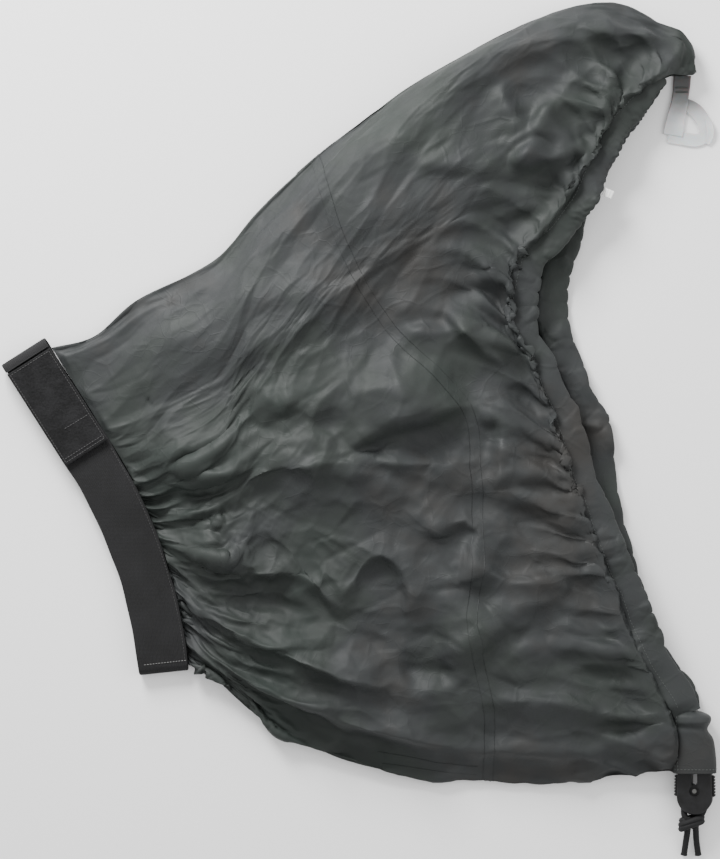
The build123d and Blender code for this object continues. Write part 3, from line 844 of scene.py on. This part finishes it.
def detailed(points, plan, u, v, upper):
    """Adds puffs at the waist and rim, and crisp creases, to the settled cloth."""
    normal = surface_normals(points)
    x, y = plan[..., 0], plan[..., 1]
    steps = np.linalg.norm(np.diff(plan, axis=0), axis=2)
    to_waist = np.vstack([0 * steps[:1], np.cumsum(steps, 0)])
    to_rim = to_waist[-1] - to_waist
    calm = np.maximum(1 - smooth((u - 0.60) / 0.16), bell(np.hypot(x - TIP[0], y - TIP[1]), 110))
    a, b = u * 690, v * 330  # about the layer's own length and width
    a, b = a + 9 * value_noise(a / 55, b / 55, 1.5), b + 9 * value_noise(a / 47, b / 47, 9.5)
    coarse = crinkle(a, b, 44, 3.3) - crinkle(a + 0.3 * b, b, 33, 8.1)
    medium = crinkle(a, b + 0.2 * a, 19, 2.2) - crinkle(a - 0.3 * b, b, 16, 6.4)
    fine = crinkle(x, y, 9.5, 7.2)
    lift = (4.6 + 2.2 * calm) * coarse + (2.5 + 1.6 * calm) * medium + (0.5 + 0.5 * calm) * fine
    lift += (0.8 + 0.4 * calm) * crease_lines(a, b, 46, 3.0, 4.4)
    lift += (0.5 + 0.4 * calm) * crease_lines(a + 0.5 * b, b, 27, 2.6, 7.9)
    along_rim, along_waist = (1 - u) * 745, u * 560
    rim = puffs(along_rim, to_rim, 15.5, 1.1)
    tight = puffs(along_rim, to_rim, 8.0, 3.3)
    pleats = puffs(along_rim + 0.35 * to_rim, 0.4 * to_rim, 33.0, 5.2, 0.9)
    rim = rim + smooth((u - 0.72) / 0.08) * (tight - rim)
    lift += bell(to_rim, 26) * 6.0 * (rim - 0.3) + bell(to_rim, 85) * 9.0 * (pleats - 0.5) * smooth(to_rim / 14)
    lift = lift * smooth(to_waist / 8) * smooth(to_rim / 3)
    puff, pucker = puffs(along_waist, v * 200, 40.0, 2.6, 0.6), puffs(along_waist, v * 460, 17.0, 2.6)
    over = upper * (1 - smooth((u - 0.62) / 0.06)) * bell(to_waist - 14, 22) * smooth(to_waist / 4)
    lift += over * (11.0 * puff + 1.5 * pucker - 2)
    moved = points + normal * (lift * np.where(upper > 0, 1, 0.5))[..., None]
    outward = unit(points[:1, :, :2] - points[12:13, :, :2])
    moved[..., :2] += outward * (over * (14.0 * puff + 2.0 * pucker))[..., None]
    # The upper layer clears the inner edge of its hem, and comes down behind it
    least = rim_height(u) + 9.5 * smooth(to_rim / 5) - 15 * smooth((to_rim - 14) / 30)
    near = upper * smooth(np.minimum(u, 1 - u) / 0.05) * bell(to_rim, 32)
    z = moved[..., 2]
    moved[..., 2] = np.clip(z + near * (soft_floor(z, least, 0.5) - z), LOWEST, HIGHEST)
    return moved


class Body:
    """The cloth body as one fine grid, with what places seams and stitches on it."""

    def __init__(self):
        u, v, upper, lower = body_plan()
        points, growth = designed_body(u, v, upper, lower)
        # It follows the simulation fully in the gathered rear half and by the rim
        share = np.maximum(1 - 0.92 * smooth((u - 0.40) / 0.18), bell(1 - v, 0.13))
        points = points + ring(share, share)[..., None] * (settle(points, growth) - points)
        ones = np.ones((ROWS, COLUMNS + 1))
        labels = np.stack([ring(u * ones, u * ones), ring(v * ones, v * ones), ring(ones, 0 * ones)], 2)
        by_band = labels[..., 2] * (1 - smooth((labels[..., 1] - 0.06) / 0.12))
        points = points + by_band[..., None] * (evened(points, 50) - points)
        grid = np.concatenate([points, ring(upper, lower), labels], 2)
        fine = finer(finer(grid, True), False)
        self.plan = fine[..., 3:5]
        u, v, upper = fine[..., 5], fine[..., 6], np.clip(fine[..., 7], 0, 1)
        self.points = detailed(fine[..., :3], self.plan, u, v, upper)
        self.normals = surface_normals(self.points)
        self.rows, self.columns = self.points.shape[:2]

    def locate(self, where, right=True):
        """Grid coordinates of plan points in the right (upper) or left (lower) layer."""
        half = self.columns // 2
        first = 0 if right else half
        plan = self.plan[:, (first + np.arange(half + 1)) % self.columns]
        coarse = plan[::3, ::3]
        nearest = [int(np.argmin(((coarse - w) ** 2).sum(-1))) for w in where]
        spots = np.stack(divmod(np.array(nearest), coarse.shape[1]), 1) * 3.0
        dr, dc = np.gradient(plan, axis=0), np.gradient(plan, axis=1)
        for _ in range(6):
            here, r, c = (self.sample(g, spots) for g in (plan, dr, dc))
            miss = where - here
            det = cross2(r, c)
            det = np.where(np.abs(det) < 1e-6, 1e-6, det)
            step = np.stack([cross2(miss, c), cross2(r, miss)], 1) / det[:, None]
            spots = spots + np.clip(step, -6, 6)
            spots[:, 0] = np.clip(spots[:, 0], 0, plan.shape[0] - 1.001)
            spots[:, 1] = np.clip(spots[:, 1], 0, plan.shape[1] - 1.001)
        spots[:, 1] += first
        return spots

    def sample(self, grid, spots):
        """A grid's values between its points."""
        i, j = np.floor(spots).astype(int).T
        a, b = (spots - np.floor(spots)).T[..., None]
        wide = grid.shape[1]
        rows = np.minimum(i + 1, grid.shape[0] - 1)
        return (
            grid[i, j % wide] * (1 - a) * (1 - b) + grid[rows, j % wide] * a * (1 - b)
            + grid[i, (j + 1) % wide] * (1 - a) * b + grid[rows, (j + 1) % wide] * a * b
        )

    def strip(self, route, width, raised, right=True, step=2.0):
        """A narrow strip of cloth along a route in plan, on the outside of one layer."""
        line = curve(route, 200)
        line = resample(line, int(run_length(line) / step))
        left = left_of(tangents(line))
        offsets = np.linspace(-width / 2, width / 2, 9)
        lift = raised * np.array([-0.5, 0.75, 1, 0.8, 0.55, 0.8, 1, 0.75, -0.5])
        places = (line[:, None] + offsets[None, :, None] * left[:, None]).reshape(-1, 2)
        spots = self.locate(places, right)
        points = self.sample(self.points, spots).reshape(len(line), 9, 3)
        normals = unit(self.sample(self.normals, spots)).reshape(len(line), 9, 3)
        return points + normals * lift[None, :, None], normals


def side_of(route, plan):
    """Positive to the left of a route in plan."""
    line = curve(route, 240)
    blocks = np.array_split(plan, 24)
    k = np.concatenate([np.argmin(((rows[..., None, :] - line) ** 2).sum(-1), -1) for rows in blocks])
    return cross2(tangents(line)[k], plan - line[k])


def make_body():
    body = Body()
    faces = grid_faces(body.rows, body.columns, wrap=True)
    side = side_of(DECK_SEAM, body.plan).reshape(-1)
    deck = side[faces].mean(1) > 0
    made = []
    for name, chosen in (("tunnel", ~deck), ("deck", deck)):
        piece = add_mesh(f"{name}_cloth", body.points, faces[chosen], "coated_nylon", NYLON)
        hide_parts(f"{name}_right", f"{name}_left")
        made.append(piece)
    seams = (
        ("deck_tunnel", "_right", DECK_SEAM, 10.0, 0.8, True, 2),
        ("deck_tunnel", "_left", DECK_SEAM, 10.0, 0.4, False, 2),
        ("tunnel_rear", "", REAR_SEAM, 8.0, 0.8, True, 1),
    )
    for name, end, route, width, raised, right, spare in seams:
        points, normals = body.strip(route, width, raised, right)
        faces = grid_faces(*points.shape[:2])
        seam = add_mesh(f"{name}_seam_strip{end}", points, faces, "seam", NYLON_SEAM)
        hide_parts(f"{name}_seam{end}")
        marks = [stitch_marks(points[spare:-spare, k], normals[spare:-spare, k]) for k in (2, 6)]
        add_stitching(f"{name}_stitching{end}", marks, DARK_THREAD)
    return made


# -------- the hem


def hem_line():
    """The middle of the hem: the upper run from the rear, the turn at the front, and the lower run back."""
    upper = curve(UPPER_HEM[::-1], 430)
    lower = curve(LOWER_HEM, 430)
    out = unit(upper[-1] - upper[-2])
    middle, radius = (HEM_UPPER_Z + HEM_LOWER_Z) / 2, (HEM_UPPER_Z - HEM_LOWER_Z) / 2
    angle = np.linspace(pi / 2, -pi / 2, 25)[1:-1]
    turn = [(*(upper[-1] + out * radius * cos(a)), middle + radius * sin(a)) for a in angle]
    return np.vstack([level(upper, HEM_UPPER_Z), turn, level(lower, HEM_LOWER_Z)])


def hem_frames(line):
    """Cross directions of the hem: side lies level, towards the cloth on the upper run; up stands on it."""
    tangent = tangents(line)
    side = level(left_of(unit(tangent[:, :2])))
    flip = np.where(np.arange(len(line)) > len(line) // 2, -1.0, 1.0)
    turning = np.linalg.norm(tangent[:, :2], axis=1) < 0.999
    steady = side[np.argmax(turning) - 1]
    side = np.where(turning[:, None], steady, side * flip[:, None])
    return side, np.cross(tangent, side)


def make_hem():
    """The gathered casing round the shock cord, creased hard across its width."""
    raw = hem_line()
    line = resample(raw, int(run_length(raw) / 1.5))
    side, up = hem_frames(line)
    s = distances(line)[:, None]
    total = s[-1, 0]
    theta = np.linspace(0, 2 * pi, 56, endpoint=False)[None]
    w = 16 * np.cos(theta)  # how far across the casing
    tight = smooth((s - 0.36 * total) / 60) * (1 - smooth((s - 0.56 * total) / 60))
    dense, loose = puffs(s, 1.6 * w, 7.5, 1.1, 0.6), puffs(s, w, 24.0, 4.2, 0.35)
    puff = dense * tight + loose * (1 - tight)
    over = 0 * s
    facets = crinkle(s + 0.7 * w, w + 300 + over, 21.0, 3.9) - crinkle(s - 0.6 * w, w + 90 + over, 17.0, 6.1)
    small = crinkle(s - 0.3 * w, w + 700 + over, 8.0, 2.9)
    lines = crease_lines(s + 0.5 * w, w + 200 + over, 16.0, 1.6, 6.6)
    waver = 0.9 * np.sin(s / 31) * np.sin(s / 13.7)
    wide = (14.6 + 3.0 * puff + 2.4 * facets + waver) * (1 - 0.42 * bell(s - total / 2, 26))
    thick = soft_floor(3.0 + 3.2 * puff + 4.2 * facets + 2.2 * small - 1.5 * np.abs(lines), 4.6)
    across, height = squared_off(np.cos(theta), 0.8), squared_off(np.sin(theta), 0.62)
    ends = smooth(s / 14) * smooth((total - s) / 14)
    sway = 1.2 * np.sin(s / 19 + 0.8 * np.sin(s / 41)) + 0.6 * np.sin(s / 7.7)
    roll = 0.16 * np.sin(s / 33 + np.sin(s / 15)) + 0.08 * np.sin(s / 9.3)
    reach, rise = across * wide * (0.85 + 0.15 * ends), thick * height * (0.25 + 0.75 * ends)
    place = line[:, None] + (reach * np.cos(roll) + sway)[..., None] * side[:, None]
    points = place + (rise + reach * np.sin(roll) + 0.9 * np.sin(s / 9.1))[..., None] * up[:, None]
    points[..., 2] = np.maximum(points[..., 2], 0.4)
    faces = grid_faces(*points.shape[:2], wrap=True)
    piece = add_mesh("rim_hem_casing", points, faces, "coated_nylon", NYLON)
    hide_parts("rim_hem_right", "rim_hem_left", "rim_hem_front_turn")
    k = int(np.argmin(np.abs(across - 0.4) + 9 * (height < 0)))
    row = stitch_marks(points[6:-6, k], up[6:-6], radius=0.24, sink=0.12)
    add_stitching("rim_hem_stitching", [row], DARK_THREAD)
    cord = add_cord("rim_shock_cord", [braided_tube(raw[4:-4], CORD_RADIUS, sides=12, step=3.0)], "skirt")
    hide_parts("rim_bungee")


def make_sleeve():
    """The flat mouth of the hem, where the cord comes out: smooth cloth with a double row of stitches."""
    rows, count, start, length = 66, 96, -299.0, 63.6
    y = np.linspace(start, start - length, rows)[:, None]
    t = (start - y) / length
    theta = np.linspace(0, 2 * pi, count, endpoint=False)[None]
    at_hem = bell(t, 0.07)  # where it comes out of the casing
    left = 309.5 + 2.0 * smooth(t / 0.5) + 8.0 * at_hem
    right = 350.0 + 5.0 * smooth((t - 0.1) / 0.8) - 5.0 * bell(t - 0.32, 0.10) - 17.0 * at_hem
    middle, half = (left + right) / 2, (right - left) / 2
    top = 34.5 - 6.0 * t - 9.0 * at_hem + 1.3 * bell(t - 0.2, 0.05) - 1.5 * bell(t - 0.28, 0.05)
    base, widest = 0.8, 14.0  # heights of its underside and of its two edges
    x, z = squared_off(np.cos(theta), 0.72), squared_off(np.sin(theta), 0.62)
    X, Y = middle + half * x, y + 0 * theta
    creases = 1.5 * crinkle(X + 0.4 * Y, Y * 0.8, 21, 5.2) + 0.7 * crinkle(X, Y, 11, 1.2)
    roof = top + creases + 1.3 * np.sin((X + 0.8 * Y) / 11) * bell(t - 0.15, 0.3)
    Z = widest + np.where(z >= 0, roof - widest, widest - base) * z
    outer = np.stack([X, Y, Z], 2)
    centre = np.stack([middle[-1] + 0 * theta[0], Y[-1], 0 * theta[0] + (top[-1] + base) / 2], 1)
    inward = unit(centre - outer[-1]) * 1.1
    tuck = [outer[-1] + inward * min(1.0, 0.5 * n) + [0, -0.35 if n < 2 else n - 1.5, 0] for n in range(1, 10)]
    points = np.concatenate([outer, tuck])
    faces = grid_faces(len(points), count, wrap=True)
    piece = add_mesh("hem_exit_sleeve_cloth", points, faces, "coated_nylon", NYLON)
    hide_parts("hem_exit_sleeve")
    normals = unit(np.cross(np.roll(points, -1, 1) - np.roll(points, 1, 1), np.gradient(points, axis=0)))
    normals *= np.sign(normals[..., 2:])
    roof_only = np.nonzero(z[0] > 0.25)[0]
    marks = [stitch_marks(points[2:64, k], normals[2:64, k]) for k in (37, 41)]
    marks.append(stitch_marks(points[61, roof_only], normals[61, roof_only]))
    add_stitching("hem_exit_stitching", marks, DARK_THREAD)


def make_label():
    """A folded satin tag caught in the hem, with a sewn end."""
    low, high = (np.array(c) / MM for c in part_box("care_label"))
    centre = (low + high) / 2
    turn = radians(-24)
    ex, ey = np.array([cos(turn), sin(turn), 0]), np.array([-sin(turn), cos(turn), 0])

    def leaf(gap, curl):
        def surface(X, Y):
            lift = gap * (X / 10) + curl * np.sin(Y / 3.2) * (X / 10) + 0.12 * np.sin(X * 2.2)
            return centre + (X - 4.5)[..., None] * ex + Y[..., None] * ey + lift[..., None] * UP

        return slab(surface, 10.5, 8.0, 0.28, 24, 20, 0.3)

    tag = add_mesh("care_label_tag", *joined([leaf(0.9, 0.25), leaf(-0.5, -0.2)]), "label", SATIN)
    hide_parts("care_label")


# -------- waistband and closure


def make_waistband():
    """One long strip of ribbed elastic: round the front fold, along the floor, round the rear fold and back."""
    line, across = [], []

    def add(points, headings):
        line.append(points)
        across.append(level(left_of(headings)))

    def add_run(s, z):
        plan, headings = band_point(s)
        add(np.column_stack([plan, z + 0 * s]), headings)

    def half_turn(centre, heading, outward, top, direction):
        radius = (top - BAND_LOWER_Z) / 2
        angle = np.linspace(pi / 2, -pi / 2, 26) * direction
        out, rise = np.cos(angle) * radius, np.sin(angle) * radius
        plan = centre + out[:, None] * outward * heading
        add(np.column_stack([plan, BAND_LOWER_Z + radius + rise]), np.repeat(heading[None], len(angle), 0))

    half_turn(BAND_START, BAND_DIR[:2], -1, TAB_Z, 1)
    add_run(np.arange(1.0, BAND_LENGTH - 0.5, 1.5), BAND_LOWER_Z)
    end, heading = band_point(BAND_LENGTH)
    half_turn(end, heading, 1, BAND_UPPER_Z, -1)
    s = np.arange(BAND_LENGTH - 1, 12.0, -1.5)
    wave = 0.5 * np.sin(s / 21) * smooth((s - 115) / 30) * smooth((BAND_LENGTH - s) / 30)
    add_run(s, BAND_UPPER_Z + wave)
    line, across = np.vstack(line), np.vstack(across)
    up = unit(np.cross(tangents(line), across))
    ribs, per_rib = 26, 5
    width = ribs * per_rib + 1
    y = np.linspace(-1, 1, width)
    rib = 0.16 * np.cos(np.linspace(-pi, pi, width) * ribs)
    half = (0.86 + rib) * np.sqrt(np.clip(1 - np.abs(y) ** 30, 0, 1))
    s = distances(line)[:, None]
    edge = BAND_WIDTH / 2 + 0.55 * np.sin(s / 37 + 1) * np.sin(s / 11.3)
    profile = np.concatenate([np.stack([y, half], 1), np.stack([y[-2:0:-1], -half[-2:0:-1]], 1)])
    points = line[:, None] + (profile[:, :1] * edge[..., None]) * across[:, None] + profile[:, 1:] * up[:, None]
    n, k = len(profile), np.arange(width - 1)
    cap = np.stack([k, k + 1, (n - k - 1) % n, (n - k) % n], 1)
    tips = np.array([cap[0, :3], cap[-1, [0, 1, 3]]])  # the first and last have three corners
    last = (len(line) - 1) * n
    ends = (cap[1:-1], tips, cap[1:-1, ::-1] + last, tips[:, ::-1] + last)
    faces = (grid_faces(len(line), n, wrap=True), *ends)
    band = add_mesh("waistband_ribbed_elastic", points, faces, "elastic", ELASTIC)
    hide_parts("waistband_elastic")

    def stitched(s, offset, lift, **marks):
        """A row of stitches on the band's upper run, offset to the left of its middle."""
        plan, heading = band_point(s)
        return stitch_marks(level(plan + offset * left_of(heading), BAND_UPPER_Z + lift), **marks)

    across = np.linspace(-19, 24, 60)[:, None]
    end = stitched(np.full(60, BAND_LENGTH - 3.0), across, 0.95, pitch=2.7, length=1.9, radius=0.26)
    add_stitching("waistband_end_stitching", [end], PALE_THREAD)
    edge = stitched(np.linspace(118, BAND_LENGTH - 4, 260), 22.5, 0.9, pitch=3.2, radius=0.25)
    add_stitching("waistband_edge_stitching", [edge], BLACK_THREAD)


def on_band(start, length, width, z, thickness, relief=None, corner=1.0, rows=90, columns=46):
    """A panel on the band's straight stretch, from start mm along, with its underside at z."""
    base = np.append(BAND_START, z + thickness / 2)

    def surface(X, Y):
        return base + (start + X)[..., None] * BAND_DIR + Y[..., None] * BAND_ACROSS

    return slab(surface, length, width, thickness, rows, columns, corner, relief)


def fuzzy(X, Y):
    return 0.22 * value_noise(X / 1.6, Y / 1.6, 3.1) + 0.18 * value_noise(X / 5.0, Y / 5.0, 7.7)


def make_closure():
    """The folded-over tab with its brushed face, the hook tape under it, and the pile tape on the band."""
    tab = on_band(2.0, 108.0, 50.0, 18.2, 2.2, fuzzy, 0.9, 150, 80)
    tab = add_mesh("closure_tab_pile", *tab, "elastic", PILE, "closure")
    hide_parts("closure_tab")
    on_top = np.append(BAND_START, 20.35)
    rows = (
        ((4, -22.6), (107, -22.6)), ((4, 22.6), (107, 22.6)), ((107, -22.6), (107, 22.6)),
        ((103.6, -22), (103.6, 22)), ((4.5, -22), (4.5, 22)), ((78, -6), (78.5, 21)),
    )
    lines = [resample([on_top + x * BAND_DIR + y * BAND_ACROSS for x, y in row], 120) for row in rows]
    marks = [stitch_marks(line, pitch=3.0) for line in lines]
    add_stitching("closure_tab_stitching", marks, BLACK_THREAD, "closure")
    hook = on_band(16.0, 84.0, 45.0, 17.0, 1.2, None, 0.5, 60, 34)
    hook = add_mesh("closure_hook_tape", *hook, "hook", HOOK, "closure")
    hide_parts("closure_hook_patch")
    pile = add_mesh("waist_pile_tape", *on_band(14.0, 88.0, 45.0, 15.2, 1.5, fuzzy, 0.6, 110, 60), "pile", PILE)
    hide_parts("waist_pile_patch")


# -------- grab loop


def ribbon_path(line, curl, widths, thickness=0.7, columns=15):
    """A flat ribbon along a level line, its edges curled up by so many mm."""
    side = level(left_of(unit(np.gradient(line, axis=0)[:, :2])))
    y = np.linspace(-0.5, 0.5, columns)
    lift = curl * (2 * np.abs(y)) ** 2
    middle = line[:, None] + (y * widths[:, None])[..., None] * side[:, None] + lift[..., None] * UP
    return panel(middle + UP * thickness / 2, middle - UP * thickness / 2)


def make_loop():
    """A pale ribbon: down from the hem, folded at its lower corner, round a small eye and back under itself."""
    down = [(322.8, 332.6, 0.9), (321.5, 318, 1.6), (319.2, 303, 2.6), (315.8, 288, 2.2), (313.0, 272.5, 1.2)]
    t = np.linspace(0, 1, 70)
    width = 17.5 - 1.0 * bell(t - 0.35, 0.2) + 2.5 * smooth((t - 0.5) / 0.5)
    parts = [ribbon_path(curve(down, len(t)), np.full((len(t), 1), 0.5), width)]
    round_eye = [
        (308, 271.5, 0.6), (322, 269.5, 0.6), (337, 267.5, 0.8), (345.2, 272.5, 1.6), (344.5, 283, 2.4),
        (338.5, 294.0, 2.4), (330.5, 301.0, 1.6), (322.5, 304.0, 0.7),
    ]
    t = np.linspace(0, 1, 110)
    width = 13.5 - 1.5 * bell(t - 0.5, 0.12) + 1.0 * bell(t - 0.75, 0.1) - 1.5 * smooth((t - 0.85) / 0.15)
    curl = 0.35 + 0.5 * np.sin(t * 9) * bell(t - 0.5, 0.3)
    parts.append(ribbon_path(curve(round_eye, len(t)), curl[:, None], width))
    corner = [(347.5, 263.5, 1.4), (350.5, 272.5, 2.8), (350.0, 281.5, 3.4), (347.0, 290.0, 3.0)]
    t = np.linspace(0, 1, 40)
    width = 7.5 - 3.0 * (2 * t - 1) ** 2
    parts.append(ribbon_path(curve(corner, len(t)), np.full((len(t), 1), 0.4), width, columns=9))
    ribbon = add_mesh("grab_loop_ribbon", *joined(parts), "webbing", RIBBON, "loop")
    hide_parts("grab_loop")
    bars = []
    for y in (320.6, 319.9, 315.9, 315.2):
        zigzag = np.array([(315.2 + 0.33 * i, y + (0.45 if i % 2 else -0.45), 2.1) for i in range(40)])
        bars.append(stitch_marks(zigzag, pitch=1.1, length=1.15, radius=0.24))
    tack = add_stitching("grab_loop_bar_tack", bars, DARK_THREAD, "loop")
    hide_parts("grab_loop_stitching")


# -------- cord lock, strands, knot and tails

# The tails' control points, as in the CAD part
TAILS = {
    "left": [(327.4, -409.2, 12.6), (327, -420, 11.4), (325.4, -434, 6.2), (324, -447, 3.3)],
    "right": [(334.6, -409.2, 12.6), (335, -420, 11.4), (336.2, -434, 6.2), (338.5, -447, 3.3)],
}
LOCK_CENTRE, LOCK_TILT, STRAND_X = np.array([334.0, -381.0, 13.0]), radians(12), 10.8
KNOT_CENTRE = np.array([331.0, -413.6, 12.6])


def make_cords():
    """The two strands into the lock, their overhand knot, and the tails below it."""
    kx, ky, kz = KNOT_CENTRE
    for name, side in (("left", -1), ("right", 1)):
        x = LOCK_CENTRE[0] + side * STRAND_X * cos(LOCK_TILT)
        z = LOCK_CENTRE[2] + side * STRAND_X * sin(LOCK_TILT)
        route = [
            (x, -339, z), (x, -372, z), (x, -397, z),
            (kx + side * 8.0, -407.0, (z + kz) / 2), (kx + side * 3.6, -412.5, kz),
        ]
        strand = add_cord(f"pull_strand_{name}_braid", [braided_tube(nurbs_line(route), CORD_RADIUS)])
        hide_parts(f"pull_strand_{name}")
    turns, wide, deep = 2.35, 10.3, 5.8
    a = np.linspace(0, 2 * pi * turns, 200)
    t = a / a[-1]
    shrink = 1 - 0.45 * bell(t, 0.05) - 0.45 * bell(1 - t, 0.05)
    coil = np.stack([
        kx - 1.2 + wide * shrink * np.cos(a + 2.4) + 0.8 * np.sin(2 * a),
        ky + 1.2 - 9.6 * (t - 0.5) + 3.0 * np.cos(a + 2.4),
        kz + deep * shrink * np.sin(a + 2.4),
    ], 1)
    tubes = [braided_tube(coil, CORD_RADIUS)]
    for side in (-1, 1):
        core = np.array([(kx + side * 3.4 + 1.0 * np.sin(k / 3), -407 - k, kz) for k in range(14)])
        tubes.append(braided_tube(core, CORD_RADIUS - 0.2))
    knot = add_cord("overhand_knot_braid", tubes)
    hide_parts("bungee_knot")
    for name, route in TAILS.items():
        line = nurbs_line(route)
        tail = add_cord(f"bungee_tail_{name}_braid", [braided_tube(line, CORD_RADIUS, flare=0.55)])
        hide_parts(f"bungee_tail_{name}")


def finish_lock():
    """Gives the lock's CAD parts their materials."""
    plastic = ("lock_top_cheek", "lock_bottom_cheek", "lock_grip_right", "lock_grip_left", "lock_roller")
    for node, material in (*((node, PLASTIC) for node in plastic), ("lock_roller_pin", STEEL)):
        slots = frame["nodes"][node].data.materials
        if not slots:
            slots.append(material)
        for k in range(len(slots)):
            slots[k] = material


# -------- stage, light and camera


def make_stage():
    floor = add_square("floor", 6.0, -0.0004)
    pale = Surface("pale_floor").finish({"Base Color": (0.96, 0.96, 0.96, 1), "Roughness": 0.8})
    floor.data.materials.append(pale)


def area_light(name, location, size, power):
    data = bpy.data.lights.new(name, "AREA")
    data.size, data.energy = size, power
    lamp = bpy.data.objects.new(name, data)
    bpy.context.scene.collection.objects.link(lamp)
    lamp.location = location
    lamp.rotation_euler = (-Vector(location)).to_track_quat("-Z", "Y").to_euler()


def make_lights():
    world = bpy.data.worlds.new("studio")
    world.use_nodes = True
    background = world.node_tree.nodes["Background"]
    background.inputs[0].default_value = (1, 1, 1, 1)
    background.inputs[1].default_value = 1.0
    bpy.context.scene.world = world
    area_light("key", (-0.8, 1.5, 1.0), 0.8, 84)
    area_light("fill", (1.5, 0.1, 1.1), 1.0, 8)


def make_camera():
    """Straight down, from the photograph's viewpoint."""
    height, frame_height, sensor = 3, 0.859, 36  # in metres, and the sensor in mm
    data = bpy.data.cameras.new("camera")
    data.sensor_width = sensor
    data.lens = sensor * height / frame_height
    camera = bpy.data.objects.new("camera", data)
    bpy.context.scene.collection.objects.link(camera)
    camera.location = (0.0005, -0.0215, height)
    bpy.context.scene.camera = camera


for leftover in [o for o in bpy.context.scene.objects if o.name in ("Cube", "Light", "Camera")]:
    bpy.data.objects.remove(leftover)
make_camera()
make_cords()
tunnel, deck = make_body()
make_hem()
make_sleeve()
make_label()
make_waistband()
make_closure()
make_loop()
finish_lock()
make_stage()
make_lights()
